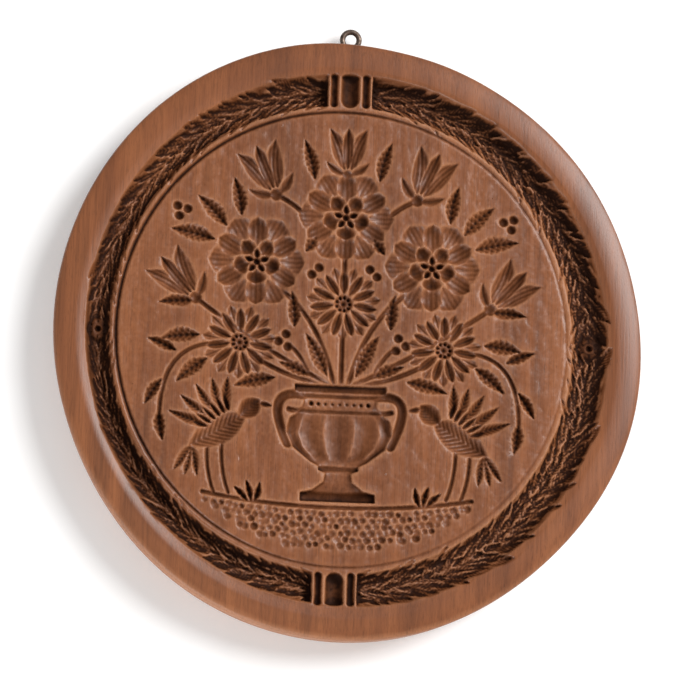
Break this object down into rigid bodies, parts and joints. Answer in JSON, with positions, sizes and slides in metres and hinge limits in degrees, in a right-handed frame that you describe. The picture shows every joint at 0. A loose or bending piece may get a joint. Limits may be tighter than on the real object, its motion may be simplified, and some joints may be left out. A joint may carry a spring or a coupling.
{
  "type": "springerle mould",
  "caption": "Round wooden biscuit mould carved in intaglio with a leaf wreath, ribbon bands and a bouquet, with a screw eye in its edge to hang it by.",
  "frame": {"origin": "centre of the board's flat back", "axes": "+Z out of the carved face, +Y towards the screw eye, so the board lies on its back"},
  "size_m": [0.2074, 0.2209, 0.018],
  "materials": {
    "fruitwood": "oiled, dark in the cuts",
    "aged_brass": "aged brown"
  },
  "bodies": {
    "board": {"mould_board": "fruitwood"},
    "eye": {"hanging_eye": "aged_brass"}
  },
  "joints": [
    {"name": "eye_turn", "type": "hinge", "parent": "board", "child": "eye", "pos_m": [-0.00187, 0.10627, 0.0055], "axis": [0, 1, 0], "range_deg": [-90, 90]}
  ]
}
